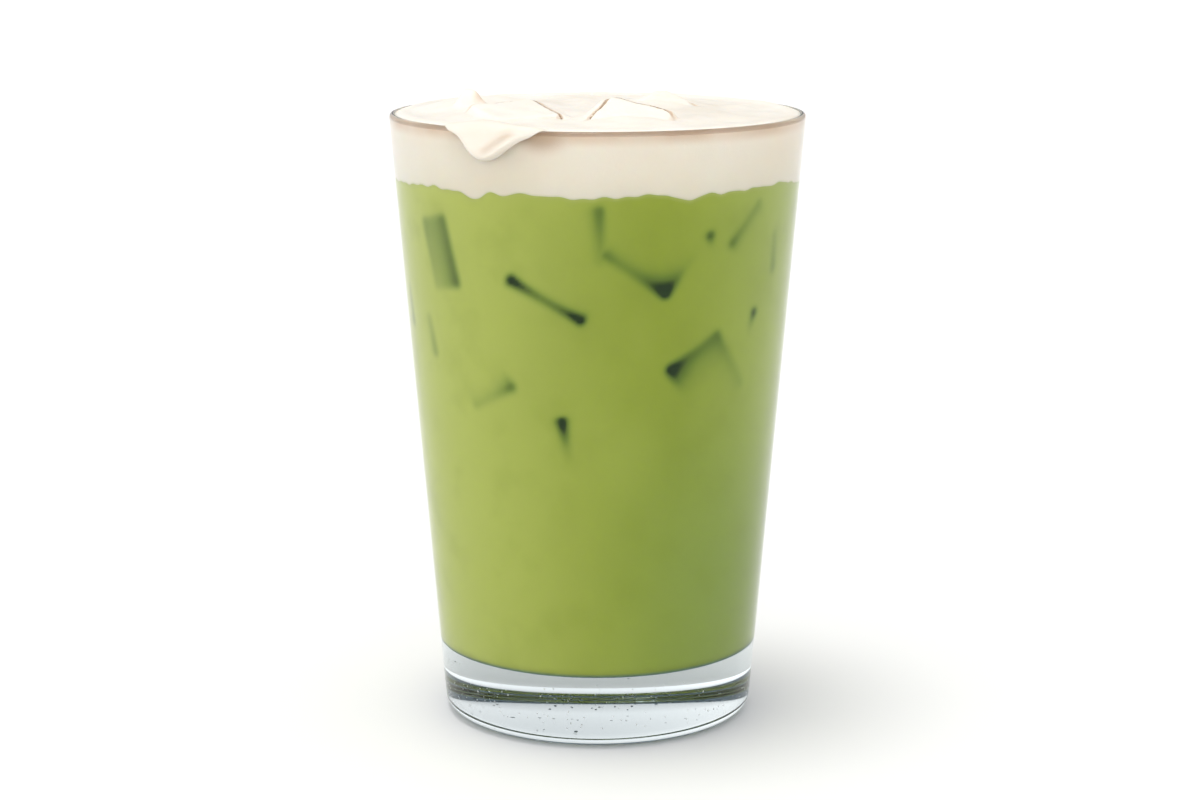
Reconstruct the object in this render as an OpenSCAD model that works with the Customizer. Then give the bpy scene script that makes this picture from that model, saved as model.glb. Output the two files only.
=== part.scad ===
// Iced green tea latte with a cream foam cap, in the tapered glass that holds it.
// Z is up and the origin is the middle of the foot ring, on the surface the glass stands on.
// The side with the overflow lobe faces -Y, a little towards -X.

/* [Glass] */
// Height of the glass
glass_h = 128; // [120:1:134]
// Outer diameter at the rim
rim_d = 86.8; // [84:0.2:90]
// Outer diameter of the wall carried down to the table
base_d = 65.2; // [62:0.2:68]
// Thickness of the rounded lip
lip_t = 1.5; // [1.3:0.1:2]
// Wall thickness at the level of the inner floor
wall_t = 2.2; // [1.8:0.1:3]
// Thickness of the solid base under the drink
floor_t = 15; // [12:0.5:18]
// Radius of the rounded outer heel
heel_r = 3.6; // [2.4:0.2:4.4]
// Radius of the corner between the inner wall and the inner floor
floor_r = 2.6; // [1.6:0.2:4]
// Depth of the shallow dish under the base
punt_h = 0.4; // [0.2:0.1:0.6]
// Radius of the shallow dish under the base
punt_r = 22; // [16:0.5:23]

/* [Drink] */
// Mean height of the line between the green drink and the foam
layer_z = 115; // [110:0.2:118]
// How strongly that line waves up and down round the glass
layer_wave = 1; // [0:0.1:1.5]

/* [Foam] */
// How far below the lip's rounding the foam leaves the inner wall
foam_edge = 0.2; // [0.1:0.1:1]
// How far the middle of the foam stands over its edge
foam_dome = 2.6; // [1:0.1:3.4]
// How strongly mounds and hollows show on the foam
foam_relief = 1; // [0:0.1:1.3]

/* [Overflow lobe] */
// Direction of the lobe's tip, round the glass
lobe_a = 240.2; // [225:0.2:255]
// How far the lobe hangs below the top of the lip
lobe_drop = 6.1; // [3:0.1:12]
// Greatest thickness of the lobe over the glass
lobe_t = 2.5; // [1.5:0.1:3]

/* [Ice] */
// Edge length of the ice cubes that break the surface
ice_s = 16; // [14:0.5:16.5]
// How far the cubes' corners are worn round
ice_wear = 1.6; // [1:0.1:2.4]

/* [Hidden] */

gap = 0.03;                       // play that keeps faceted food clear of the true glass wall
rim_r = rim_d / 2;
base_r = base_d / 2;

// Outer and inner wall radii at height z.
function r_out(z) = base_r + (rim_r - base_r) * z / glass_h;
in_lo = r_out(floor_t) - wall_t;
in_hi = rim_r - lip_t;
function r_in(z) = in_lo + (in_hi - in_lo) * (z - floor_t) / (glass_h - floor_t);
wall_a = atan((rim_r - base_r) / glass_h);
lip_r = lip_t / 2;
lip_c = [rim_r - lip_r - (rim_r - base_r) / glass_h * lip_r, glass_h - lip_r];

// n + 1 points of an arc about c from angle a0 to a1.
function arc(c, r, a0, a1, n) = [for (i = [0:n]) let (a = a0 + (a1 - a0) * i / n) c + r * [cos(a), sin(a)]];
function turn(a) = a > 180 ? turn(a - 360) : a < -180 ? turn(a + 360) : a;
function sum(v, i = 0) = i < len(v) ? v[i] + sum(v, i + 1) : 0;
function lift(ring, h) = [for (p = ring) p + [0, 0, h]];

// ---- glass -------------------------------------------------------------
heel_c = [r_out(heel_r) - heel_r / cos(wall_a), heel_r];
fill_c = [r_in(floor_t + floor_r) - floor_r / cos(wall_a), floor_t + floor_r];

module glass() {
    color([0.93, 0.96, 0.96, 0.35]) rotate_extrude($fn = 96) polygon(concat(
        [for (i = [0:8]) let (t = i / 8) [punt_r * t, punt_h * pow(1 - t * t, 2)]],
        arc(heel_c, heel_r, -90, -wall_a, 8),
        arc(lip_c, lip_r, -wall_a, 180 - wall_a, 10),
        arc(fill_c, floor_r, -wall_a, -90, 6),
        [[0, floor_t]]
    ));
}

// ---- columns and rings of the food's surfaces ----------------------------
lobe_half = 17;                    // half the lobe's width at the lip, in degrees round the glass
lobe_cols = 30;                    // columns across the lobe, closer together than the rest
rest_cols = 90;
cols = lobe_cols + rest_cols;
function col_a(i) = i <= lobe_cols
    ? lobe_a + lobe_half * (2 * i / lobe_cols - 1)
    : lobe_a + lobe_half + (360 - 2 * lobe_half) * (i - lobe_cols) / rest_cols;
angles = [for (i = [0:cols - 1]) col_a(i)];
function ring(r, z) = [for (a = angles) [r * cos(a), r * sin(a), z]];

// A closed skin through rings of points, from a middle point below to a middle point above.
module skin(mid0, rings, mid1) {
    n = len(rings[0]);
    m = len(rings);
    pts = concat([mid0], [for (g = rings) each g], [mid1]);
    last = len(pts) - 1;
    faces = concat(
        [for (i = [0:n - 1]) [0, 1 + i, 1 + (i + 1) % n]],
        [for (k = [0:m - 2]) for (i = [0:n - 1])
            let (a = 1 + k * n + i, b = 1 + k * n + (i + 1) % n) each [[a, a + n, b + n], [a, b + n, b]]],
        [for (i = [0:n - 1]) [last, 1 + (m - 1) * n + (i + 1) % n, 1 + (m - 1) * n + i]]);
    // rings may meet in places, and the faces lost there are left out
    polyhedron(pts, [for (f = faces) if (pts[f[0]] != pts[f[1]] && pts[f[1]] != pts[f[2]] && pts[f[2]] != pts[f[0]]) f],
        convexity = 6);
}

// ---- line between drink and foam ------------------------------------------
// It rises and dips round the glass: [direction, half width, height].
waves = [
    [195, 9, -0.2], [218, 9, 0.6], [233.6, 3.2, -1.2], [241, 4, 0.1], [249.6, 3, 0.6], [259, 3, 0.2],
    [266, 5, -0.2], [285, 6, 0.5], [294.9, 3, -0.9], [303, 3, 0.2], [321, 9, 0.45], [333, 6, 0.5], [351, 7, -0.7],
    [14, 6, 0.7], [31, 4, -0.8], [49, 7, 0.5], [70, 4, 0.8], [83, 5, -0.9], [104, 8, 0.6], [121, 3.6, -0.8],
    [137, 5, 0.8], [160, 6, -0.5]
];
function layer(r, a) = layer_z + layer_wave * pow(r / in_hi, 3)
    * sum([for (w = waves) w[2] * exp(-pow(turn(a - w[0]) / w[1], 2))]);
layer_steps = [0.25, 0.5, 0.72, 0.88, 1];
function layer_r(a) = r_in(layer(in_hi, a)) - 2 * gap;
function layer_ring(s) = [for (a = angles) let (r = s * layer_r(a)) [r * cos(a), r * sin(a), layer(r, a)]];

// ---- ice ----------------------------------------------------------------
// A cube under its top corner, corners worn round; grow widens it evenly to cut its own seat.
module cube_of_ice(grow = 0) {
    s = ice_s + 2 * grow;
    intersection() {
        translate([-grow, -s + grow, -s + grow]) cube(s);
        translate([ice_s / 2, -ice_s / 2, -ice_s / 2]) sphere(r = ice_s / 2 * sqrt(3) - ice_wear + grow, $fn = 64);
    }
}
// The corner and the turn of each cube.
module at_left() { translate([-13.4, -12, 130.9]) rotate([2.7, 8.9, -62.4]) cube_place() children(); }
module at_right() { translate([2.5, -18, 132.3]) rotate([23.5, 11.9, -21.8]) cube_place() children(); }
module at_back() { translate([13.2, 6, 131.7]) rotate([21.8, 18.4, -43.9]) cube_place() children(); }
// Lets the worn corner, not the sharp one, come to the given point.
module cube_place() { translate(ice_wear * 0.577 * [-1, 1, 1]) children(); }
module ice_seats() {
    at_left() cube_of_ice(0.06);
    at_right() cube_of_ice(0.06);
    at_back() cube_of_ice(0.06);
}
module ice_left() { color([0.90, 0.86, 0.76, 0.7]) at_left() cube_of_ice(); }
module ice_right() { color([0.90, 0.86, 0.76, 0.7]) at_right() cube_of_ice(); }
module ice_back() { color([0.90, 0.86, 0.76, 0.7]) at_back() cube_of_ice(); }

// ---- drink --------------------------------------------------------------
module matcha() {
    color([0.56, 0.63, 0.29]) difference() {
        skin([0, 0, floor_t + gap], concat(
            [for (p = arc(fill_c, floor_r, -90, -wall_a, 4)) ring(p[0] - 2 * gap, p[1] + gap)],
            [ring(r_in(60) - 2 * gap, 60)],
            [for (k = [len(layer_steps) - 1:-1:0]) layer_ring(layer_steps[k])]
        ), [0, 0, layer(0, 0)]);
        ice_seats();
    }
}

// ---- foam ---------------------------------------------------------------
z_edge = lip_c[1] - foam_edge;     // height at which the foam leaves the inner wall
// Mounds and hollows on the foam: [x, y, half width, height].
mounds = [
    [-27, 5, 9, 2.1], [-25, -18, 10, 1.3], [-13, -14, 7, 0.7], [-18, -25, 8, 1.2], [13, 6, 7, 1.5], [4, -18, 6, 0.9], [7, -29, 7, 0.9], [6, 18, 9, -0.4],
    [30, 4, 11, -0.7], [2, -30, 9, -0.2], [24, 26, 9, -0.5], [-8, 28, 9, -0.5], [22, -24, 9, -0.3]
];
function top_z(x, y, s) = z_edge + foam_dome * (1 - pow(s, 2.4))
    + foam_relief * (1 - pow(s, 6)) * sum([for (m = mounds) m[3] * exp(-(pow(x - m[0], 2) + pow(y - m[1], 2)) / (m[2] * m[2]))]);

// The lobe follows the glass from its inside over the lip and down the outside.
// Point and outward normal of the glass outline at path length s, counted outwards from the top of the lip.
quarter = lip_r * PI / 2;
lip_end = lip_c + lip_r * [cos(wall_a), -sin(wall_a)];
function lip_path(s) =
    s <= -quarter ? [[lip_c[0] - lip_r, lip_c[1] + s + quarter], [-1, 0]] :
    s < quarter ? let (a = 90 - s / quarter * (s > 0 ? 90 + wall_a : 90)) [lip_c + lip_r * [cos(a), sin(a)], [cos(a), sin(a)]] :
    [lip_end + (s - quarter) * [-sin(wall_a), -cos(wall_a)], [cos(wall_a), -sin(wall_a)]];
path0 = -quarter - foam_edge;      // where the foam leaves the inner wall
// Hang below the lip at f degrees from the tip: one side steep, the other a slow curve.
function hang(f) = (lobe_drop - lip_r) * (f < 0 ? exp(-pow(-f / 7.9, 2.9)) : exp(-pow(f / 8.6, 1.9)));
function full(f) = abs(f) >= lobe_half ? 0 : pow(1 - pow(f / lobe_half, 2), 0.6);
function reach(f) = path0 + (full(f) <= 0 ? 0 : (2 * quarter + foam_edge) * min(1, 1.5 * full(f)) + hang(f) * full(f));
function fat(f) = lobe_t * full(f) * (0.5 + 0.5 * exp(-pow(f / 7, 2)));
// Thickness at t of the way to the lobe's end: a little fuller in the drop, and round at its end.
function thick(t, f) = fat(f) * (0.78 + 0.3 * exp(-pow((t - 0.76) / 0.2, 2))) * pow(max(0, 1 - pow(t, 7)), 0.5);
function on_lobe(a, s, off) = let (p = lip_path(s), q = p[0] + off * p[1]) [q[0] * cos(a), q[0] * sin(a), q[1]];
under_n = 12;
over_n = 13;
function lobe_under(t) = [for (a = angles) let (f = turn(a - lobe_a)) on_lobe(a, path0 + (reach(f) - path0) * t, gap)];
function lobe_over(t) = [for (a = angles)
    let (f = turn(a - lobe_a), s0 = min(-0.3 * quarter, path0 + (reach(f) - path0) * 0.5))
    on_lobe(a, full(f) <= 0 ? path0 : s0 + (reach(f) - s0) * t, gap + thick(t, f))];
top_steps = [0.97, 0.92, 0.84, 0.74, 0.62, 0.48, 0.32, 0.16];
// The foam's own top is drawn up to the lobe near the lip.
function top_ring(s) = [for (a = angles)
    let (f = turn(a - lobe_a), r = s * (lip_c[0] - lip_r - gap), x = r * cos(a), y = r * sin(a))
    [x, y, top_z(x, y, s) + min(1, 2 * full(f)) * (glass_h + 0.8 * fat(f) - z_edge) * pow(s, 14)]];

module foam() {
    color([0.96, 0.92, 0.85]) difference() {
        skin([0, 0, layer(0, 0) + gap], concat(
            [for (s = layer_steps) lift(layer_ring(s), gap)],
            [ring(r_in(glass_h - 6) - 2 * gap, glass_h - 6)],
            [for (j = [0:under_n]) lobe_under(j / under_n)],
            [for (j = [over_n - 1:-1:0]) lobe_over(1 - pow(1 - j / over_n, 1.5))],
            [for (s = top_steps) top_ring(s)]
        ), [0, 0, top_z(0, 0, 0)]);
        ice_seats();
    }
}

glass();
matcha();
foam();
ice_left();
ice_right();
ice_back();
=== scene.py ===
import math

import bpy
import numpy as np
from mathutils import Euler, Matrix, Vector
from mathutils.bvhtree import BVHTree


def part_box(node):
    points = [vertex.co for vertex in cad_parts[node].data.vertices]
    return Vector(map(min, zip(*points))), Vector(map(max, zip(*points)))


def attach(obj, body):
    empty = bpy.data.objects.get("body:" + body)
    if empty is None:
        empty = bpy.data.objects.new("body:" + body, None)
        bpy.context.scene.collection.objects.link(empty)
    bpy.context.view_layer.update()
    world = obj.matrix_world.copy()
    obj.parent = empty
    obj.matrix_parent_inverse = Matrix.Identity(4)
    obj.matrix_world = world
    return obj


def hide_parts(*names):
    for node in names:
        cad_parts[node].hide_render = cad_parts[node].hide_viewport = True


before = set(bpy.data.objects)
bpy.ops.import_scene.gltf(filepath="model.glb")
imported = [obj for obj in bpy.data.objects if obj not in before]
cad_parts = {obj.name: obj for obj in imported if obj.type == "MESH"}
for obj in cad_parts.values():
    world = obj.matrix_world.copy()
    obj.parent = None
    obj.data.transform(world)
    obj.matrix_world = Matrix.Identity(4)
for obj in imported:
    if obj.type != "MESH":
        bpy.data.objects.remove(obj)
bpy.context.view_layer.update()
scene = bpy.context.scene
rng = np.random.default_rng(11)

# ---------------------------------------------------------------- sizes, in mm
g_lo, g_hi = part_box("glass")
K = (g_hi[2] - g_lo[2]) / 128.0 * 1000.0       # 1 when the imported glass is 128 mm tall
MM = 0.001 * K
H = 128.0
RIM_R, BASE_R = 43.4, 32.6
LIP_T, WALL_T, FLOOR_T = 1.5, 2.2, 15.0
HEEL_R, FLOOR_R = 3.6, 2.6
PUNT_H, PUNT_R = 0.4, 22.0
LAYER_Z = 115.0
FOAM_EDGE, DOME = 0.2, 2.6
LOBE_A, LOBE_HALF, LOBE_DROP, LOBE_T = 240.2, 17.0, 6.1, 2.5
ICE_S, ICE_WEAR = 16.0, 1.6

LIP_R = LIP_T / 2
WALL_A = math.atan((RIM_R - BASE_R) / H)
LIP_C = (RIM_R - LIP_R - math.tan(WALL_A) * LIP_R, H - LIP_R)
IN_LO = BASE_R + (RIM_R - BASE_R) * FLOOR_T / H - WALL_T
IN_HI = RIM_R - LIP_T
Z_EDGE = LIP_C[1] - FOAM_EDGE
SINK = 0.16                                     # how far what fills the glass reaches into its wall


def r_out(z):
    return BASE_R + (RIM_R - BASE_R) * z / H


def r_in(z):
    return IN_LO + (IN_HI - IN_LO) * (z - FLOOR_T) / (H - FLOOR_T)


def arc(cx, cz, r, a0, a1, n):
    a = np.radians(np.linspace(a0, a1, n + 1))
    return np.stack([cx + r * np.cos(a), cz + r * np.sin(a)], 1)


def smooth(x):
    x = np.clip(x, 0, 1)
    return x * x * (3 - 2 * x)


def turn(a):
    return (np.asarray(a) + 180.0) % 360.0 - 180.0


class Ripple:
    """A smooth random field in two or three directions, the same on each run."""

    def __init__(self, seed, size, dims, n=26):
        r = np.random.default_rng(seed)
        k = r.normal(size=(n, dims))
        k /= np.linalg.norm(k, axis=1)[:, None]
        self.k = k * (2 * math.pi / size) * r.uniform(0.55, 1.6, (n, 1))
        self.p = r.uniform(0, 2 * math.pi, n)
        self.n = n

    def __call__(self, *xyz):
        v = sum(c[..., None] * self.k[:, i] for i, c in enumerate(np.broadcast_arrays(*xyz)))
        return np.sin(v + self.p).sum(-1) / math.sqrt(self.n / 2)


def mesh_object(name, pts, faces, attrs=None, slot=None, replaces=(), weld=0.0):
    me = bpy.data.meshes.new(name)
    me.from_pydata((np.asarray(pts) * MM).tolist(), [], [list(map(int, f)) for f in faces])
    for key, val in (attrs or {}).items():
        a = me.attributes.new(key, "FLOAT", "POINT")
        a.data.foreach_set("value", np.asarray(val, dtype=np.float32))
    me.validate()
    if weld:
        import bmesh
        bm = bmesh.new()
        bm.from_mesh(me)
        bmesh.ops.remove_doubles(bm, verts=bm.verts, dist=weld * MM)
        bmesh.ops.recalc_face_normals(bm, faces=bm.faces)
        bm.to_mesh(me)
        bm.free()
    me.shade_smooth()
    ob = bpy.data.objects.new(name, me)
    scene.collection.objects.link(ob)
    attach(ob, "root")
    if replaces:
        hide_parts(*replaces)
    return ob


def ring_faces(n, m, first=0, close=True):
    """Quads between m rings of n points each."""
    i = np.arange(n)
    j = (i + 1) % n
    out = []
    for k in range(m - 1):
        a, b = first + k * n + i, first + k * n + j
        out.append(np.stack([a, b, b + n, a + n], 1))
    return np.concatenate(out)


def lathe(name, prof, seg, **kw):
    """Turns a closed outline whose first and last points lie on the axis."""
    prof = np.asarray(prof)
    a = np.linspace(0, 2 * math.pi, seg, endpoint=False)
    rings = prof[1:-1]
    pts = [[0, 0, prof[0, 1]]]
    body = np.stack([np.outer(rings[:, 0], np.cos(a)), np.outer(rings[:, 0], np.sin(a)), np.repeat(rings[:, 1:2], seg, 1)], -1)
    pts = np.concatenate([pts, body.reshape(-1, 3), [[0, 0, prof[-1, 1]]]])
    m = len(rings)
    faces = ring_faces(seg, m, 1).tolist()
    last = len(pts) - 1
    for i in range(seg):
        j = (i + 1) % seg
        faces.append([0, 1 + j, 1 + i])
        faces.append([last, 1 + (m - 1) * seg + i, 1 + (m - 1) * seg + j])
    return mesh_object(name, pts, faces, **kw)


# ---------------------------------------------------------------- glass
heel = (r_out(HEEL_R) - HEEL_R / math.cos(WALL_A), HEEL_R)
fill = (r_in(FLOOR_T + FLOOR_R) - FLOOR_R / math.cos(WALL_A), FLOOR_T + FLOOR_R)
wa = math.degrees(WALL_A)
t = np.linspace(0, 1, 25)[1:]
punt = np.stack([PUNT_R * t, PUNT_H * (1 - t * t) ** 2], 1)
heel_arc = arc(*heel, HEEL_R, -90, -wa, 18)
lip_arc = arc(*LIP_C, LIP_R, -wa, 180 - wa, 22)
fill_arc = arc(*fill, FLOOR_R, -wa, -90, 14)


def between(p, q, n):
    s = np.linspace(0, 1, n + 2)[1:-1, None]
    return np.asarray(p) * (1 - s) + np.asarray(q) * s


GLASS = np.concatenate([
    [[0, PUNT_H]], punt, between(punt[-1], heel_arc[0], 3), heel_arc,
    between(heel_arc[-1], lip_arc[0], 24), lip_arc, between(lip_arc[-1], fill_arc[0], 20), fill_arc,
    between(fill_arc[-1], (0, FLOOR_T), 8), [[0, FLOOR_T]]])
SEG = 200
glass = lathe("glass_body", GLASS, SEG, slot="glass", replaces=("glass",))

# ---------------------------------------------------------------- line between drink and foam
WAVES = [
    (195, 9, -0.2), (218, 9, 0.6), (233.6, 3.2, -1.2), (241, 4, 0.1), (249.6, 3, 0.6), (259, 3, 0.2),
    (266, 5, -0.2), (285, 6, 0.5), (294.9, 3, -0.9), (303, 3, 0.2), (321, 9, 0.45), (333, 6, 0.5), (351, 7, -0.7),
    (14, 6, 0.7), (31, 4, -0.8), (49, 7, 0.5), (70, 4, 0.8), (83, 5, -0.9), (104, 8, 0.6), (121, 3.6, -0.8),
    (137, 5, 0.8), (160, 6, -0.5)]
edge_fine = Ripple(5, 5.0, 2)


def layer(a):
    """Height of the line at the wall, with the CAD's waves and a finer unevenness."""
    a = np.asarray(a, float)
    z = LAYER_Z + sum(h * np.exp(-(turn(a - c) / w) ** 2) for c, w, h in WAVES)
    x, y = 40 * np.cos(np.radians(a)), 40 * np.sin(np.radians(a))
    return z + 0.13 * edge_fine(x, y)


# ---------------------------------------------------------------- ice sunk in the drink
# Each cube: three points close behind the wall as (direction, height, depth behind the wall) - a corner and a point
# along each of two of its edges - then its three edge lengths. The third edge runs into the drink.
SUNK = [
    ((226.4, 95.6, 0.30), (222.2, 109.0, 0.48), (214.8, 93.9, 1.08), (15.0, 8, 17)),
    ((271.6, 101.5, 0.75), (271.2, 112.0, 0.20), (250.0, 103.5, 4.5), (12, 14, 14)),
    ((290.0, 94.6, -0.42), (271.5, 103.4, 0.25), (297.8, 100.1, 0.55), (16, 16, 16)),
    ((308.3, 87.4, 0.38), (291.2, 80.3, -0.30), (315.6, 80.4, 0.85), (13.6, 15, 15)),
    ((244.6, 76.0, 0.12), (230.0, 70.9, 0.85), (239.9, 79.4, 1.5), (11.5, 12, 14)),
    ((321.6, 113.2, 0.60), (311.0, 105.2, 0.30), (336.0, 108.0, 2.5), (12, 15, 15)),
    ((331.3, 97.2, 0.55), (330.8, 102.0, 0.7), (345.0, 99.0, 3.0), (9, 12, 12)),
    ((196.7, 85.0, 0.45), (196.0, 89.0, 0.65), (184.0, 86.0, 2.6), (9, 12, 12)),
    ((212.6, 80.2, 0.5), (211.3, 84.5, 0.65), (199.0, 80.0, 3.4), (9, 12, 12)),
    # round the back
    ((18.0, 92.0, 0.2), (22.0, 107.0, 0.5), (352.0, 95.5, 0.6), (17, 18, 16)),
    ((44.0, 101.0, 0.0), (66.0, 92.5, 0.1), None, (17, 18, 18)),
    ((95.0, 104.5, 0.3), (83.0, 94.0, 0.7), (109.0, 96.0, 0.4), (16, 17, 16)),
    ((131.0, 88.0, 0.45), (148.0, 96.5, 1.1), (137.0, 76.0, 1.5), (15, 14, 16)),
    ((72.0, 78.0, 0.3), (88.0, 72.0, 0.8), (64.0, 70.0, 0.8), (14, 14, 14)),
    ((166.0, 107.0, 0.3), (170.0, 95.5, 0.6), (152.0, 103.0, 1.4), (15, 15, 15)),
    ((28.0, 74.0, 0.1), (30.0, 68.0, 1.6), (38.0, 73.0, 2.4), (12, 12, 12)),
]
# Cubes that meet the wall with one edge only, both of its faces turned inwards: direction and height of both ends.
EDGED = [
    ((244.2, 98.4, -0.42), (266.0, 90.2, -0.46), 16.8, 18),
    ((259.0, 70.0, -0.42), (260.2, 65.0, 0.5), 9, 12),
    ((303.2, 106.9, -0.10), (304.6, 103.0, 1.7), 9, 12),
    ((323.4, 90.0, -0.10), (321.2, 85.4, 1.3), 10, 12),
]


def wall_point(a, z, depth):
    a = math.radians(a)
    r = r_in(z) - depth
    return np.array([r * math.cos(a), r * math.sin(a), z])


def unit(v):
    v = np.asarray(v, float)
    return v / np.linalg.norm(v)


def rounded_block(size, round_r, n=7, bunch=0.75):
    """Points and quads of a block from the origin to size, with edges of radius round_r."""
    s = np.asarray(size, float)
    u = np.linspace(-1, 1, n)
    u = np.sign(u) * np.abs(u) ** bunch
    pts, faces = [], []
    for ax in range(3):
        for sg in (-1, 1):
            g = np.zeros((n, n, 3))
            g[..., ax] = sg
            b, c = (ax + 1) % 3, (ax + 2) % 3
            g[..., b], g[..., c] = np.meshgrid(u, u, indexing="ij")
            k = len(pts) * n * n
            pts.append(g.reshape(-1, 3))
            for i in range(n - 1):
                for j in range(n - 1):
                    q = [k + i * n + j, k + (i + 1) * n + j, k + (i + 1) * n + j + 1, k + i * n + j + 1]
                    faces.append(q if sg > 0 else q[::-1])
    p = np.concatenate(pts) * s / 2
    core = np.clip(p, -(s / 2 - round_r), s / 2 - round_r)
    d = p - core
    L = np.linalg.norm(d, axis=1)
    L[L < 1e-9] = 1
    p = core + d / L[:, None] * round_r * (np.linalg.norm(p - core, axis=1) > 1e-9)[:, None]
    return p + s / 2, faces


def sunk_blocks():
    """Corner, three edge directions, sizes and edge rounding of each block."""
    out = []
    for A, B, C, (la, lb, lc) in SUNK:
        p = wall_point(*A)
        a = unit(wall_point(*B) - p)
        inward = -unit([p[0], p[1], 0])
        if C is None:
            m = unit(np.cross(a, inward))
            b = unit(inward + m)
            b = unit(b - a * (a @ b))
            c = np.cross(a, b)
            c = c if c @ inward > 0 else -c
        else:
            b = wall_point(*C) - p
            b = unit(b - a * (a @ b))
            c = np.cross(a, b)
            c = c if c @ inward > 0 else -c
        out.append((p, a, b, c, (la, lb, lc), 1.1))
    for A, B, length, s in EDGED:
        p = wall_point(*A)
        a = unit(wall_point(*B) - p)
        inward = -unit([p[0], p[1], 0])
        inward = unit(inward - a * (a @ inward))
        m = np.cross(a, inward)
        out.append((p, a, unit(inward + m), unit(inward - m), (length, s, s), 0.6))
    return out


trees = []
for p, a, b, c, size, worn in sunk_blocks():
    q, f = rounded_block(size, worn, 13, 0.42 if worn > 1 else 0.3)
    w = p + q[:, :1] * a + q[:, 1:2] * b + q[:, 2:] * c
    w = w + unit([p[0], p[1], 0]) * 0.22 * worn  # back out to the wall by what the rounding takes off
    trees.append((BVHTree.FromPolygons([Vector(v) for v in w], f), Vector(w.mean(0))))


def film(pts):
    """How deep the drink is between each point of the wall and the nearest ice, in mm."""
    out = np.full(len(pts), 9.0)
    for i, v in enumerate(pts):
        v = Vector(v)
        d = 9.0
        for tr, mid in trees:
            at, nrm, _, gap = tr.find_nearest(v, 4.0)
            if at is not None and gap < d:
                side = nrm.dot(v - at) * nrm.dot(at - mid)
                d = gap if side > 0 else 0.0
        out[i] = d
    return out


# ---------------------------------------------------------------- drink
N_A = 384
ang = np.linspace(0, 360, N_A, endpoint=False)
ca, sa = np.cos(np.radians(ang)), np.sin(np.radians(ang))
top_line = layer(ang) + 1.0
z0 = FLOOR_T + FLOOR_R
N_Z = 150
rings = []
for r in (6, 14, 20, 25, 28.5):
    rings.append(np.stack([r * ca, r * sa, np.full(N_A, FLOOR_T - SINK)], 1))
for q in arc(*fill, FLOOR_R + SINK, -90, -wa, 12):
    rings.append(np.stack([q[0] * ca, q[0] * sa, np.full(N_A, q[1])], 1))
for k in range(1, N_Z + 1):
    z = z0 + (top_line - z0) * k / N_Z
    r = r_in(z) + SINK - 0.03 * smooth((z - (top_line - 1.3)) / 0.3)
    rings.append(np.stack([r * ca, r * sa, z], 1))
n_wall = len(rings)
for s in (0.93, 0.8, 0.6, 0.35):
    r = (r_in(top_line) + SINK) * s
    rings.append(np.stack([r * ca, r * sa, np.full(N_A, LAYER_Z + 1.2)], 1))
P = np.concatenate([[[0, 0, FLOOR_T - SINK]], np.concatenate(rings), [[0, 0, LAYER_Z + 1.2]]])
F = ring_faces(N_A, len(rings), 1).tolist()
last = len(P) - 1
for i in range(N_A):
    j = (i + 1) % N_A
    F.append([0, 1 + j, 1 + i])
    F.append([last, last - N_A + i, last - N_A + j])
depth = np.full(len(P), 9.0)
lo_i, hi_i = 1 + 10 * N_A, 1 + n_wall * N_A
depth[lo_i:hi_i] = film(P[lo_i:hi_i])
under = np.concatenate([[9.0], np.concatenate([np.full(N_A, 9.0) if k >= n_wall else (layer(ang) - rings[k][:, 2]) for k in range(len(rings))]), [9.0]])
matcha = mesh_object("matcha_drink", P, F, slot="matcha", replaces=("matcha",),
                     attrs={"ice_film": np.exp(-np.clip(depth - SINK, 0, 9) / 0.62), "under_foam": np.clip(under, -2, 9)})

# ---------------------------------------------------------------- ice that breaks the foam
ICES = [("ice_left", (-13.4, -12, 130.9), (2.7, 8.9, -62.4)),
        ("ice_right", (2.5, -18, 132.3), (23.5, 11.9, -21.8)),
        ("ice_back", (13.2, 6, 131.7), (21.8, 18.4, -43.9))]
ice_objects, ice_trees, ice_frames = [], [], []
melt = Ripple(21, 7.0, 3)
for k, (node, at, rot) in enumerate(ICES):
    q, f = rounded_block((ICE_S,) * 3, 1.5, 21)
    q = q * [1, 1, 1] + [0, -ICE_S, -ICE_S]
    mid = np.array([ICE_S / 2, -ICE_S / 2, -ICE_S / 2])
    d = q - mid
    L = np.linalg.norm(d, axis=1)
    lim = ICE_S / 2 * math.sqrt(3) - ICE_WEAR
    d *= np.minimum(1, (lim - 0.25 * np.exp(-(lim - np.minimum(L, lim)) / 0.8)) / L)[:, None]
    d *= (1 - 0.010 + 0.010 * melt(*(q + 31 * k).T))[:, None]
    q = mid + d + ICE_WEAR * 0.577 * np.array([-1, 1, 1])
    R = np.array(Euler([math.radians(v) for v in rot]).to_matrix())
    w = q @ R.T + np.array(at)
    ob = mesh_object(node + "_cube", w, f, slot="ice", replaces=(node,), weld=0.02)
    ice_objects.append(ob)
    ice_trees.append(BVHTree.FromPolygons([Vector(v) for v in w], f))
    ice_frames.append((np.array(at), R))


# ---------------------------------------------------------------- foam
MOUNDS = [
    (-27, 5, 9, 2.1), (-25, -18, 10, 0.35), (-28.0, -20.0, 4.0, 1.0), (-13, -14, 7, 0.1), (-18, -25, 8, 1.0), (13, 6, 7, 1.5), (4, -18, 6, 0.9),
    (7, -29, 7, 0.9), (6, 18, 9, -0.4), (30, 4, 11, -0.7), (2, -30, 9, -0.2), (24, 26, 9, -0.5), (-8, 28, 9, -0.5),
    (22, -24, 9, -0.3)]
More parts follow.
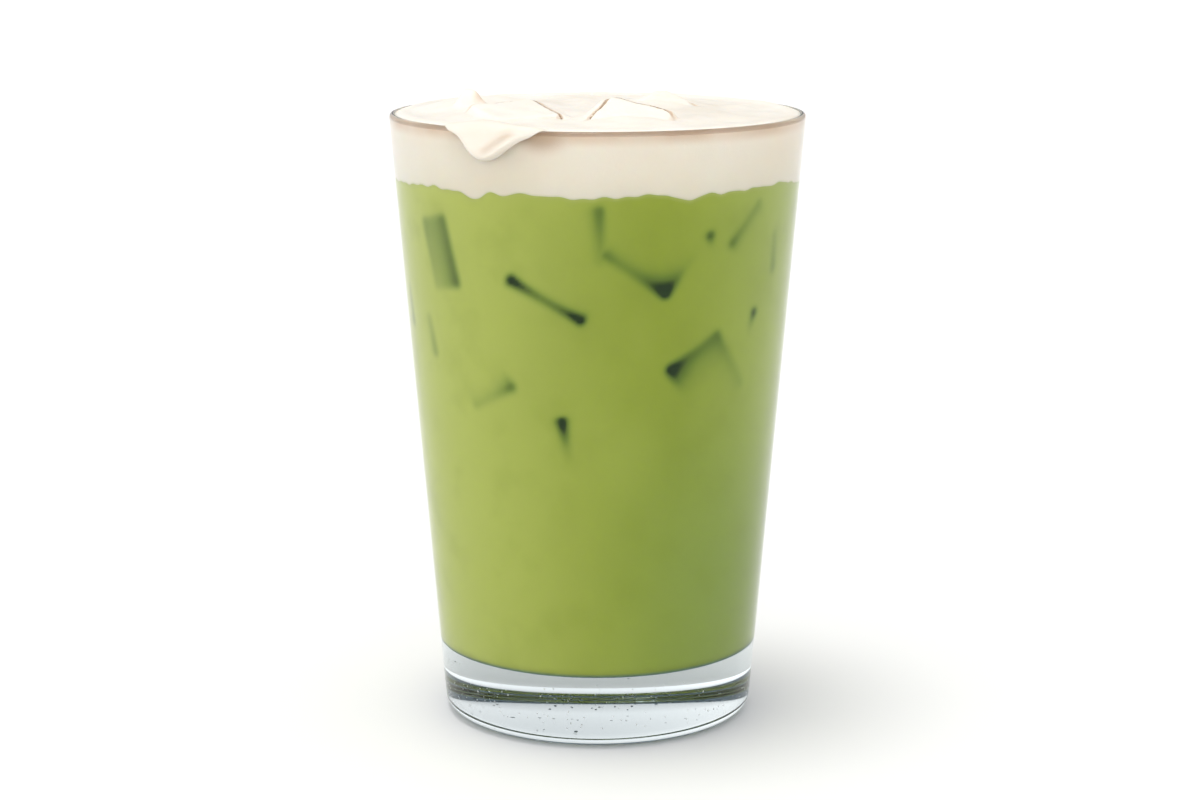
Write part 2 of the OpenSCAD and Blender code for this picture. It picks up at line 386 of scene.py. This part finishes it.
# Small knobs and folds left where the foam settled: x, y, half width, height.
KNOBS = [
    (-24.0, -4.8, 1.5, 0.9), (-27.9, -3.0, 1.8, 0.6), (-20.5, 6.0, 2.6, 0.5),
    (9.5, 25.0, 2.2, 0.55), (-12.0, 20.0, 2.0, 0.5), (26.0, -14.0, 2.6, 0.35), (19.0, 17.0, 1.6, 0.6),
    (-32.0, 12.0, 2.0, 0.6), (-2.0, 30.0, 1.8, 0.45), (30.0, 9.0, 2.2, 0.4)]
swell, crinkle = Ripple(7, 17.0, 2), Ripple(8, 5.5, 2)


def top_z(x, y, s):
    z = Z_EDGE + 0.93 * s ** 6 + DOME * (1 - s ** 2.4) + (0.25 + 0.30 * smooth((y - 2) / 18)) * np.exp(-((s - 0.955) / 0.03) ** 2)
    z = z + (1 - s ** 6) * sum(h * np.exp(-((x - a) ** 2 + (y - b) ** 2) / (w * w)) for a, b, w, h in MOUNDS)
    z = z + (1 - s ** 8) * (0.16 * swell(x, y) + 0.05 * crinkle(x, y))
    z = z + 2.9 * np.exp(-(np.hypot((x + 26.6) / 2.4, (y + 3.8) / 2.1)) ** 3.4)
    return z + (1 - s ** 8) * sum(h * np.exp(-((x - a) ** 2 + (y - b) ** 2) / (w * w)) for a, b, w, h in KNOBS)


QTR = LIP_R * math.pi / 2
PATH0 = -QTR - FOAM_EDGE
LIP_END = (LIP_C[0] + LIP_R * math.cos(WALL_A), LIP_C[1] - LIP_R * math.sin(WALL_A))


def lip_path(s):
    """Point and outward normal of the glass outline, at path length s outwards from the top of the lip."""
    s = np.asarray(s, float)
    inn = s <= -QTR
    out = s >= QTR
    a = math.pi / 2 - s / QTR * np.where(s > 0, math.pi / 2 + WALL_A, math.pi / 2)
    nx, nz = np.cos(a), np.sin(a)
    px, pz = LIP_C[0] + LIP_R * nx, LIP_C[1] + LIP_R * nz
    px = np.where(inn, LIP_C[0] - LIP_R, px)
    pz = np.where(inn, LIP_C[1] + s + QTR, pz)
    nx = np.where(inn, -1.0, nx)
    nz = np.where(inn, 0.0, nz)
    px = np.where(out, LIP_END[0] - (s - QTR) * math.sin(WALL_A), px)
    pz = np.where(out, LIP_END[1] - (s - QTR) * math.cos(WALL_A), pz)
    nx = np.where(out, math.cos(WALL_A), nx)
    nz = np.where(out, -math.sin(WALL_A), nz)
    return px, pz, nx, nz


def hang(f):
    return (LOBE_DROP - LIP_R) * np.where(f < 0, np.exp(-(np.maximum(-f, 0) / 7.9) ** 2.9), np.exp(-(np.maximum(f, 0) / 8.6) ** 1.9))


def full(f):
    return np.maximum(0, 1 - (f / LOBE_HALF) ** 2) ** 0.6 * (np.abs(f) < LOBE_HALF)


def reach(f):
    w = full(f)
    return PATH0 + np.where(w <= 0, 0, (2 * QTR + FOAM_EDGE) * np.minimum(1, 1.5 * w) + hang(f) * w)


lobe_f = np.linspace(-LOBE_HALF, LOBE_HALF, 124)
rest = np.linspace(LOBE_HALF, 360 - LOBE_HALF, (300) + 1)[1:-1]
fa = np.concatenate([lobe_f, rest])
fa_s = turn(fa)
NA = len(fa)
A = np.radians(LOBE_A + fa)
CA, SA = np.cos(A), np.sin(A)
on = np.abs(fa_s) < LOBE_HALF
f_in = np.where(on, fa_s, LOBE_HALF)
W = np.where(on, full(f_in), 0.0)
REACH = np.where(on, reach(f_in), PATH0)
outline_f = np.linspace(-LOBE_HALF, LOBE_HALF, 260)
OUT = np.stack([outline_f * math.radians(1) * RIM_R, reach(outline_f)], 1)


def lobe_skin(s):
    """Thickness of the lobe at path length s in each column: rounded at its edge, full in the drop, one rolled edge."""
    u = f_in * math.radians(1) * RIM_R
    q = np.stack([u, s], 1)
    d = np.sqrt(((q[:, None, :] - OUT[None]) ** 2).sum(-1)).min(1)
    body = LOBE_T * (0.46 + 0.54 * np.exp(-((f_in + 0.6) / 7.2) ** 2)) * (0.74 + 0.36 * smooth((s - 0.2) / 4.0))
    e = np.clip(d / 2.1, 0, 1)
    T = body * np.sqrt(np.maximum(0, 1 - (1 - e) ** 2.2))
    side = smooth((f_in + 1.5) / 4.0) * smooth((s - 0.4) / 1.2)
    T = T - 0.42 * side * np.exp(-((d - 2.0) / 0.62) ** 2) + 0.16 * side * np.exp(-((d - 0.95) / 0.45) ** 2)
    return np.where(on, np.maximum(T, 0.02), 0.0)


def polar(r, z):
    return np.stack([r * CA, r * SA, z * np.ones(NA)], 1)


PATH_TOP = -0.42 * QTR                          # the foam stands up to here on the lip's rounding
frings, wall_i = [], []
line = layer(LOBE_A + fa)
for s, dz in ((0.3, 0.4), (0.6, 0.4), (0.85, 0.4), (0.965, 0.35), (0.985, 0.2)):
    frings.append(polar((r_in(line) + SINK) * s, line + dz))
N_W = 24
for k in [0, 0.07, 0.25] + list(range(1, N_W + 1)):
    z = line + (Z_EDGE - line) * (1 - (1 - k / N_W) ** 1.6)
    frings.append(polar(r_in(z) + SINK, z))
    wall_i.append(len(frings) - 1)
# up the lip's rounding, then down the lobe's underside
N_U, N_O = ((12, 44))
tuck = -0.03
for j in (0.0, 0.25, 0.5, 0.75):
    px, pz, nx, nz = lip_path(PATH0 + (PATH_TOP - PATH0) * j)
    sink = -SINK + (SINK + tuck) * j
    frings.append(polar(px + sink * nx, pz + sink * nz))
    wall_i.append(len(frings) - 1)
REACH = np.maximum(REACH, PATH_TOP)
for j in range(N_U + 1):
    s = PATH_TOP + (REACH - PATH_TOP) * j / N_U
    px, pz, nx, nz = lip_path(s)
    frings.append(polar(px + tuck * nx, pz + tuck * nz))
S0 = PATH_TOP + 0 * REACH
LIVE = on & (REACH > PATH_TOP + 0.02)
lobe_first, lobe_lee = len(frings), []
for j in range(N_O - 1, -1, -1):
    tt = 1 - (1 - j / N_O) ** 1.7
    s = np.where(LIVE, S0 + (REACH - S0) * tt, PATH_TOP)
    px, pz, nx, nz = lip_path(s)
    T = np.where(LIVE, lobe_skin(s), tuck)
    frings.append(polar(px + T * nx, pz + T * nz))
    d_edge = np.sqrt(((np.stack([f_in * math.radians(1) * RIM_R, s], 1)[:, None, :] - OUT[None]) ** 2).sum(-1)).min(1)
    # painted shade in the groove between the drip's bulge and its rolled edge
    lobe_lee.append(np.where(LIVE, 0.48 * smooth((f_in + 2.5) / 4.0) * smooth((s + 0.2) / 1.6) * np.exp(-((d_edge - 2.4) / 1.2) ** 2), 0.0))
T_lip = np.where(LIVE, lobe_skin(S0), 0.0)
pin, zin, _, _ = lip_path(S0)
top_s = np.concatenate([np.linspace(0.985, 0.80, 22), np.linspace(0.80, 0.03, (92))[1:]])
R_TOP = LIP_C[0] - 0.62 * LIP_R
top_first = len(frings)
coat_attr = []


def ice_under(x, y):
    """Highest ice under each point, how far the point is from that cube's two bare upper edges, and how high the foam
    banks up against the cube's far sides there."""
    zi, de, bank, far = np.full(len(x), -1.0), np.full(len(x), 99.0), np.full(len(x), -1.0), np.zeros(len(x), bool)
    for tr, (at, R) in zip(ice_trees, ice_frames):
        middle = (at + R @ np.array([ICE_S / 2, -ICE_S / 2, -ICE_S / 2]))[:2]
        for i in np.nonzero(np.hypot(x - at[0], y - at[1]) < 24)[0]:
            p = np.array([x[i], y[i]])
            best, foot = 99.0, None
            for e in (R @ np.array([1.0, 0, 0]), R @ np.array([0, -1.0, 0])):
                q = at[:2] + e[:2] * np.clip((p - at[:2]) @ e[:2] / (e[:2] @ e[:2]), 0, ICE_S)
                gap = np.linalg.norm(p - q)
                if gap < best:
                    best, foot = gap, q
            h = tr.ray_cast(Vector((x[i], y[i], 140.0)), Vector((0, 0, -1)))
            if h[0] is not None and h[0][2] > zi[i]:
                zi[i], de[i] = h[0][2], best
            if best < 5 and (p - foot) @ (middle - foot) < 0:
                far[i] = True
                foot = foot + 0.75 * unit(middle - foot)
                r = tr.ray_cast(Vector((foot[0], foot[1], 140.0)), Vector((0, 0, -1)))
                if r[0] is not None:
                    bank[i] = max(bank[i], r[0][2] - 0.10 - 0.10 * best - 0.16 * best * best)
    return zi, de, bank, far


edge_noise = Ripple(31, 2.2, 2)
top_z2, thin_foam_and_painted_shade = [], []
for s in top_s:
    r = s * R_TOP
    x, y = r * CA, r * SA
    z = top_z(x, y, s)
    lift = np.minimum(1, 1.6 * W) * np.maximum(0, zin + T_lip - Z_EDGE - 0.93)
    z = z + lift * (0.75 * s ** 16 + 0.25 * s ** 5)
    zi, de, bank, far = ice_under(x, y)
    de = de + 1.6 * (y > 0)
    rise = (bank - z) / 0.35
    z = np.where(bank > 0, z + 0.35 * np.log1p(np.exp(np.clip(rise, -20, 20))), z)
    skin = 0.30 * smooth((de - 0.10 - 0.07 * edge_noise(x, y)) / 1.3) - 0.10
    target = zi + skin
    rel = target - z
    k = 0.45
    up = np.where(zi > 0, z + k * np.log1p(np.exp(np.clip(rel / k, -20, 20))), z)
    close = np.where((zi > 0) & ~far, smooth((zi - z + 0.35 + 0.4 * np.exp(-(de / 0.8) ** 2)) / 0.4), 0)
    z2 = z + close * (np.where(skin > 0, np.maximum(up, target), np.minimum(up, target)) - z)
    frings.append(polar(r, z2))
    top_z2.append(z2)
    # tan where ice shows under a film of foam, plus two patches of painted shade: right of the left cube's ridge and on
    # the front right of the knob
    thin_foam_and_painted_shade.append(np.where(zi > 0, np.exp(-np.clip(z2 - zi, 0, 9) / 0.8) * np.exp(-(de / np.where(x < -14.2, 1.25, 0.42)) ** 2), 0)
                + 0.45 * np.exp(-(np.hypot(x + 10.9, y + 14.6) / 1.8) ** 2)
                + 0.28 * np.exp(-(np.hypot(x + 24.8, y + 5.8) / 2.0) ** 2))
# painted shade on the top: slopes that face away from the light, in mm per mm, plus the ice tint under a film of foam
# and the painted shade patches above
top_z2 = np.array(top_z2)
rr = top_s[:, None] * R_TOP
dr = np.gradient(top_z2, axis=0) / np.gradient(rr, axis=0)
da = (np.roll(top_z2, -1, 1) - np.roll(top_z2, 1, 1)) / (rr * np.radians((np.roll(fa, -1) - np.roll(fa, 1)) % 360.0)[None])
lee_top = np.clip(-(dr * CA - da * SA) * 0.55 - 0.05, 0, 0.6) + np.array(thin_foam_and_painted_shade)
P = np.concatenate([[[0, 0, LAYER_Z + 0.4]], np.concatenate(frings), [[0, 0, float(top_z(np.zeros(1), np.zeros(1), 0.0)[0])]]])
F = ring_faces(NA, len(frings), 1).tolist()
last = len(P) - 1
for i in range(NA):
    j = (i + 1) % NA
    F.append([0, 1 + j, 1 + i])
    F.append([last, last - NA + i, last - NA + j])
over = np.full(len(P), 9.0)
for k in wall_i:
    over[1 + k * NA:1 + (k + 1) * NA] = P[1 + k * NA:1 + (k + 1) * NA, 2] - line
for k in range(0, 5):
    over[1 + k * NA:1 + (k + 1) * NA] = 0
lip_gap, on_glass, lee, cast = np.full(len(P), 9.0), np.zeros(len(P)), np.zeros(len(P)), np.zeros(len(P))
for k in range(len(top_s)):
    first = 1 + (top_first + k) * NA
    lee[first:first + NA] = lee_top[k]
# the drip's rings: painted shade in its groove, and marked so that the foam material paints the whole drip darker
# (painted shade)
for k in range(N_O):
    first = 1 + (lobe_first + k) * NA
    lee[first:first + NA] = lobe_lee[k]
    cast[first:first + NA] = LIVE
for k in wall_i:
    lip_gap[1 + k * NA:1 + (k + 1) * NA] = Z_EDGE + 0.3 - P[1 + k * NA:1 + (k + 1) * NA, 2]
    on_glass[1 + k * NA:1 + (k + 1) * NA] = 1.0
    # painted shadow: the drip's shadow on the foam behind the glass, below and right of it
    lee[1 + k * NA:1 + (k + 1) * NA] = np.exp(-(turn(LOBE_A + fa - 255.0) / 7.5) ** 2) * smooth(1 - lip_gap[1 + k * NA:1 + (k + 1) * NA] / 6.0)
foam = mesh_object("foam_cap", P, F, slot="foam", replaces=("foam",), attrs={"over_drink": np.clip(over, 0, 9), "below_lip": np.clip(lip_gap, 0, 9), "on_glass": on_glass, "shade": lee, "hanging": cast}, weld=0.004)


# ---------------------------------------------------------------- tiny seeds in the thick base
def ico(r):
    g = (1 + 5 ** 0.5) / 2
    v = np.array([(-1, g, 0), (1, g, 0), (-1, -g, 0), (1, -g, 0), (0, -1, g), (0, 1, g), (0, -1, -g), (0, 1, -g), (g, 0, -1), (g, 0, 1), (-g, 0, -1), (-g, 0, 1)])
    f = [(0, 11, 5), (0, 5, 1), (0, 1, 7), (0, 7, 10), (0, 10, 11), (1, 5, 9), (5, 11, 4), (11, 10, 2), (10, 7, 6), (7, 1, 8),
         (3, 9, 4), (3, 4, 2), (3, 2, 6), (3, 6, 8), (3, 8, 9), (4, 9, 5), (2, 4, 11), (6, 2, 10), (8, 6, 7), (9, 8, 1)]
    v = [unit(p) for p in v]
    out = []
    for tri in f:
        m = []
        for a_, b_ in ((0, 1), (1, 2), (2, 0)):
            v.append(unit(v[tri[a_]] + v[tri[b_]]))
            m.append(len(v) - 1)
        out += [(tri[0], m[0], m[2]), (tri[1], m[1], m[0]), (tri[2], m[2], m[1]), (m[0], m[1], m[2])]
    return np.array(v) * r, out


SP, SF = ico(1.0)
pts, faces = [], []


def seed(x, y, z, r, squash=1.0):
    k = sum(len(p) for p in pts)
    pts.append(SP * [r, r, r * squash] + [x, y, z])
    faces.extend([[k + i for i in f] for f in SF])


for i in range(150):
    a_ = math.radians(rng.uniform(0, 360)) if i % 3 else math.radians(rng.uniform(195, 235))
    z = rng.uniform(1.6, 13.6)
    lim = r_out(z) - 0.8 - max(0.0, 3.4 - z) * 0.7
    r = lim - abs(rng.normal(0, 1.6))
    seed(r * math.cos(a_), r * math.sin(a_), z, rng.uniform(0.06, 0.14) * (1.25 if i % 9 == 0 else 1.0), rng.uniform(0.8, 1.3))
for i in range(110):
    a_ = math.radians(rng.uniform(0, 360))
    r = rng.uniform(24.0, 28.2)
    seed(r * math.cos(a_), r * math.sin(a_), rng.uniform(0.5, 1.6), rng.uniform(0.07, 0.15))
for i in range(90):
    a_ = math.radians(rng.uniform(188, 352)) if i % 3 else math.radians(rng.uniform(0, 180))
    z = 5.6 + rng.normal(0, 0.9) if i % 2 else rng.uniform(3.4, 13.4)
    r = r_out(z) - rng.uniform(0.5, 1.1) - max(0.0, 4.2 - z) * 0.6
    seed(r * math.cos(a_), r * math.sin(a_), z, rng.uniform(0.09, 0.17), rng.uniform(0.8, 1.5))
seeds = mesh_object("base_seeds", np.concatenate(pts), faces, slot="glass", weld=0.0005)

# ---------------------------------------------------------------- materials
def srgb(r, g, b):
    v = np.array([r, g, b]) / 255.0
    v = np.where(v <= 0.04045, v / 12.92, ((v + 0.055) / 1.055) ** 2.4)
    return (float(v[0]), float(v[1]), float(v[2]), 1.0)


class Mat:
    def __init__(self, name):
        self.m = bpy.data.materials.new(name)
        self.m.use_nodes = True
        self.t = self.m.node_tree
        self.bsdf = self.t.nodes["Principled BSDF"]
        self.out = self.t.nodes["Material Output"]
        self.pos = self.node("ShaderNodeTexCoord").outputs["Object"]

    def node(self, kind, **inputs):
        n = self.t.nodes.new(kind)
        for k, v in inputs.items():
            self.put(n.inputs[k.replace("_", " ")] if isinstance(k, str) else n.inputs[k], v)
        return n

    def put(self, sock, v):
        if isinstance(v, bpy.types.NodeSocket):
            self.t.links.new(v, sock)
        else:
            sock.default_value = v

    def noise(self, scale, detail=2.0, rough=0.5, stretch=None, at=None):
        vec = at or self.pos
        if stretch:
            mp = self.node("ShaderNodeMapping")
            self.put(mp.inputs["Vector"], vec)
            mp.inputs["Scale"].default_value = stretch
            vec = mp.outputs[0]
        n = self.node("ShaderNodeTexNoise", Scale=scale, Detail=detail, Roughness=rough)
        self.put(n.inputs["Vector"], vec)
        return n.outputs["Fac"]

    def ramp(self, fac, stops, interp="EASE"):
        n = self.node("ShaderNodeValToRGB")
        self.put(n.inputs[0], fac)
        n.color_ramp.interpolation = interp
        e = n.color_ramp.elements
        while len(e) < len(stops):
            e.new(0.5)
        for el, (p, c) in zip(e, stops):
            el.position = p
            el.color = c if len(c) == 4 else (*c, 1)
        return n.outputs[0]

    def rng(self, v, a, b, c=0.0, d=1.0, smoothstep=True):
        n = self.node("ShaderNodeMapRange")
        n.interpolation_type = "SMOOTHSTEP" if smoothstep else "LINEAR"
        self.put(n.inputs["Value"], v)
        n.inputs["From Min"].default_value, n.inputs["From Max"].default_value = a, b
        n.inputs["To Min"].default_value, n.inputs["To Max"].default_value = c, d
        return n.outputs["Result"]

    def mix(self, fac, a, b, mode="MIX"):
        n = self.t.nodes.new("ShaderNodeMix")
        n.data_type = "RGBA"
        n.blend_type = mode
        self.put(n.inputs[0], fac)
        self.put(n.inputs[6], a)
        self.put(n.inputs[7], b)
        return n.outputs[2]

    def math(self, op, a, b=0.0):
        n = self.node("ShaderNodeMath")
        n.operation = op
        self.put(n.inputs[0], a)
        self.put(n.inputs[1], b)
        return n.outputs[0]

    def attr(self, name):
        n = self.t.nodes.new("ShaderNodeAttribute")
        n.attribute_name = name
        return n.outputs["Fac"]

    def axis(self, i):
        n = self.node("ShaderNodeSeparateXYZ")
        self.put(n.inputs[0], self.pos)
        return n.outputs[i]

    def bump(self, height, strength, dist):
        n = self.node("ShaderNodeBump", Strength=strength, Distance=dist)
        self.put(n.inputs["Height"], height)
        return n.outputs[0]


def glass_material():
    m = Mat("clear_glass")
    b = m.bsdf
    b.inputs["Base Color"].default_value = (0.985, 0.995, 0.99, 1)
    b.inputs["Transmission Weight"].default_value = 1.0
    b.inputs["IOR"].default_value = 1.5
    b.inputs["Specular Tint"].default_value = (0.3, 0.3, 0.3, 1)
    # pressed glass: the faintest unevenness, and a trace of haze
    m.put(b.inputs["Roughness"], m.rng(m.noise(60.0, 2.0), 0.45, 0.8, 0.0, 0.004))
    m.put(b.inputs["Normal"], m.bump(m.noise(38.0, 1.5, 0.5, (1, 1, 0.5)), 0.05, 0.0006))
    v = m.node("ShaderNodeVolumeAbsorption")
    v.inputs["Color"].default_value = (0.60, 0.645, 0.665, 1)
    v.inputs["Density"].default_value = 24.0
    m.t.links.new(v.outputs[0], m.out.inputs["Volume"])
    return m.m


def matcha_material():
    m = Mat("matcha_latte")
    b = m.bsdf
    film_ = m.attr("ice_film")
    below = m.attr("under_foam")
    big = m.noise(26.0, 3.0, 0.55, (1, 1, 0.5))
    col = m.ramp(big, [(0.34, srgb(149, 165, 50)), (0.5, srgb(157, 173, 58)), (0.66, srgb(166, 181, 70))])
    # painted light: the drink is painted lighter towards the left, where the key light falls, and a painted reflection
    # makes it paler towards the right
    side = m.rng(m.axis(0), -0.036, 0.016, 1.0, 0.0)
    col = m.mix(side, col, srgb(196, 206, 108))
    col = m.mix(m.rng(m.axis(0), 0.010, 0.042, 0.0, 0.75), col, srgb(184, 200, 104))
    calm = m.math("MULTIPLY", m.rng(m.axis(0), -0.008, 0.026, 0.0, 0.75), m.rng(m.axis(2), 0.030, 0.088, 1.0, 0.0))
    col = m.mix(calm, col, srgb(142, 165, 78))
    col = m.mix(m.rng(m.noise(130.0, 3.0), 0.45, 0.75, 0.0, 0.16), col, srgb(138, 154, 46))
    mid = m.rng(film_, 0.04, 0.52, 0.0, 0.66)
    col = m.mix(mid, col, srgb(80, 118, 40))
    deep = m.rng(film_, 0.36, 0.92, 0.0, 0.95)
    col = m.mix(deep, col, srgb(14, 44, 12))
    milk = m.rng(below, 0.0, 1.0, 0.55, 0.0)
    col = m.mix(milk, col, srgb(184, 192, 112))
    # the underside, seen only through the thick base, and the turn up from it: the underside painted pale blue-white
    # and the turn up teal, painted reflections standing in for the pale and dark bands seen in the base
    col = m.mix(m.rng(m.axis(2), (FLOOR_T + 0.1) * MM, (FLOOR_T + 1.1) * MM, 0.7, 0.0), col, srgb(104, 144, 140))
    col = m.mix(m.rng(m.axis(2), (FLOOR_T - 0.10) * MM, (FLOOR_T + 0.20) * MM, 1.0, 0.0), col, srgb(200, 222, 238))
    m.put(b.inputs["Base Color"], col)
    b.inputs["Specular IOR Level"].default_value = 0.15
    m.put(b.inputs["Roughness"], m.rng(m.noise(90.0), 0.3, 0.7, 0.5, 0.62))
    return m.m


def foam_material():
    m = Mat("cream_foam")
    b = m.bsdf
    big = m.noise(34.0, 3.0, 0.5)
    # painted light: the top is painted darker and the foam on the glass wall lighter, to suit the light falling on each
    col = m.ramp(big, [(0.3, srgb(215, 208, 196)), (0.5, srgb(220, 214, 204)), (0.7, srgb(224, 219, 211))])
    painted_wall_light = m.rng(m.attr("on_glass"), 0.0, 1.0, 0.0, 1.0)
    col = m.mix(painted_wall_light, col, m.ramp(big, [(0.3, srgb(250, 237, 219)), (0.7, srgb(254, 244, 230))]))
    near = m.rng(m.attr("over_drink"), 0.0, 0.6, 0.55, 0.0)
    col = m.mix(near, col, srgb(222, 220, 170))
    # painted shade: the drip over the lip is painted darker because it stands in brighter light
    col = m.mix(m.math("MULTIPLY", m.attr("hanging"), 0.5), col, srgb(204, 196, 184))
    # painted shade and shadow in tan from the shade attribute, together with the ice tint under a film of foam
    col = m.mix(m.rng(m.attr("shade"), 0.08, 1.0, 0.0, 0.72), col, srgb(186, 156, 126))
    # painted shade where the foam meets the lip: a patchy tan band under it, and a dark brown painted shadow line at
    # its edge
    lip = m.attr("below_lip")
    patch = m.rng(m.noise(70.0, 2.0), 0.35, 0.65, 0.5, 1.0)
    col = m.mix(m.math("MULTIPLY", m.rng(lip, 0.2, 2.8, 0.60, 0.0), patch), col, srgb(204, 172, 138))
    col = m.mix(m.rng(lip, 0.05, 0.45, 0.55, 0.0), col, srgb(150, 118, 92))
    m.put(b.inputs["Base Color"], col)
    b.inputs["Subsurface Weight"].default_value = 0.35
    b.inputs["Subsurface Radius"].default_value = (1.0, 0.75, 0.5)
    b.inputs["Subsurface Scale"].default_value = 0.0022
    m.put(b.inputs["Roughness"], m.rng(m.noise(220.0), 0.3, 0.7, 0.42, 0.58))
    b.inputs["Specular IOR Level"].default_value = 0.35
    h = m.math("ADD", m.math("MULTIPLY", m.noise(420.0, 3.0, 0.6), 0.6), m.math("MULTIPLY", m.noise(2200.0, 1.0), 0.4))
    m.put(b.inputs["Normal"], m.bump(h, 0.30, 0.00025))
    return m.m


def ice_material():
    m = Mat("melting_ice")
    b = m.bsdf
    fog = m.noise(240.0, 3.0, 0.6)
    m.put(b.inputs["Base Color"], m.ramp(fog, [(0.35, srgb(176, 148, 118)), (0.6, srgb(214, 196, 170))]))
    b.inputs["Transmission Weight"].default_value = 0.55
    b.inputs["IOR"].default_value = 1.31
    m.put(b.inputs["Roughness"], m.rng(fog, 0.3, 0.7, 0.08, 0.3))
    m.put(b.inputs["Normal"], m.bump(m.noise(300.0, 2.0), 0.25, 0.0003))
    return m.m


def floor_material():
    m = Mat("pale_floor")
    b = m.bsdf
    m.put(b.inputs["Base Color"], m.ramp(m.noise(5.0, 3.0), [(0.3, (0.752, 0.752, 0.752)), (0.7, (0.770, 0.770, 0.768))]))
    b.inputs["Roughness"].default_value = 0.6
    b.inputs["Specular IOR Level"].default_value = 0.2
    return m.m


def seed_material():
    m = Mat("air_seeds")
    b = m.bsdf
    m.put(b.inputs["Base Color"], m.ramp(m.noise(900.0, 1.0), [(0.35, srgb(232, 236, 238)), (0.5, srgb(253, 253, 253))]))
    m.put(b.inputs["Roughness"], m.rng(m.noise(700.0), 0.3, 0.7, 0.06, 0.2))
    return m.m


glass.data.materials.append(glass_material())
seeds.data.materials.append(seed_material())
matcha.data.materials.append(matcha_material())
foam.data.materials.append(foam_material())
ice_m = ice_material()
for ob in ice_objects:
    ob.data.materials.append(ice_m)

# ---------------------------------------------------------------- floor, light, camera
me = bpy.data.meshes.new("floor")
S, Z = 12.0, -0.00012
me.from_pydata([(-S, -S, Z), (S, -S, Z), (S, S, Z), (-S, S, Z)], [], [(0, 1, 2, 3)])
floor = bpy.data.objects.new("floor", me)
scene.collection.objects.link(floor)
floor.data.materials.append(floor_material())

BAND = 2.9                                      # a soft band of light round the horizon
world = bpy.data.worlds.new("studio")
scene.world = world
world.use_nodes = True
wt = world.node_tree
wt.nodes.clear()
tc = wt.nodes.new("ShaderNodeTexCoord")
dot = wt.nodes.new("ShaderNodeVectorMath")
dot.operation = "DOT_PRODUCT"
wt.links.new(tc.outputs["Generated"], dot.inputs[0])
dot.inputs[1].default_value = (-0.20, 0.06, -0.06)      # brighter from the left


def wmath(op, p, q=0.0):
    n = wt.nodes.new("ShaderNodeMath")
    n.operation = op
    for k, v in enumerate((p, q)):
        if isinstance(v, bpy.types.NodeSocket):
            wt.links.new(v, n.inputs[k])
        else:
            n.inputs[k].default_value = v
    return n.outputs[0]


up = wt.nodes.new("ShaderNodeSeparateXYZ")
wt.links.new(tc.outputs["Generated"], up.inputs[0])
band = wmath("MULTIPLY", wmath("EXPONENT", wmath("MULTIPLY", wmath("MULTIPLY", up.outputs[2], up.outputs[2]), -12.0)), BAND)
band = wmath("MULTIPLY", band, wmath("SUBTRACT", 0.56, wmath("MULTIPLY", up.outputs[1], 0.42)))
level = wmath("ADD", wmath("ADD", dot.outputs["Value"], 1.17), band)
lp = wt.nodes.new("ShaderNodeLightPath")
mirror = wmath("MULTIPLY", lp.outputs["Is Glossy Ray"], lp.outputs["Is Reflection Ray"])
level = wmath("MULTIPLY", level, wmath("SUBTRACT", 1.0, wmath("MULTIPLY", mirror, 0.75)))
bg = wt.nodes.new("ShaderNodeBackground")
wt.links.new(level, bg.inputs["Strength"])
bg.inputs["Color"].default_value = (1, 1, 1, 1)
white = wt.nodes.new("ShaderNodeBackground")
white.inputs["Color"].default_value = (1, 1, 1, 1)
white.inputs["Strength"].default_value = 1.15
mixw = wt.nodes.new("ShaderNodeMixShader")
wt.links.new(lp.outputs["Is Camera Ray"], mixw.inputs[0])
wt.links.new(bg.outputs[0], mixw.inputs[1])
wt.links.new(white.outputs[0], mixw.inputs[2])
wo = wt.nodes.new("ShaderNodeOutputWorld")
wt.links.new(mixw.outputs[0], wo.inputs["Surface"])

key = bpy.data.lights.new("key", "SUN")
key.angle = math.radians(20)
key.energy = 0.9
key.color = (1.0, 0.985, 0.955)
ko = bpy.data.objects.new("key", key)
scene.collection.objects.link(ko)
ko.location = (-0.2, 0.0, 1.0)
ko.rotation_euler = Vector((0.13, 0.03, -0.98)).to_track_quat("-Z", "Y").to_euler()

cam = bpy.data.cameras.new("camera")
cam.sensor_width = 36.0
cam.lens = 2715.0 / 1200.0 * 36.0
cam.clip_start, cam.clip_end = 0.01, 20.0
co = bpy.data.objects.new("camera", cam)
scene.collection.objects.link(co)
co.location = (0.00051, -562.0 * 128 / 127 * MM, 178.9 * 128 / 127 * MM)
co.rotation_euler = (math.radians(90 - 11.34), 0, 0)
scene.camera = co
scene.view_settings.view_transform = "Standard"
scene.view_settings.look = "None"
scene.view_settings.exposure = 0.0
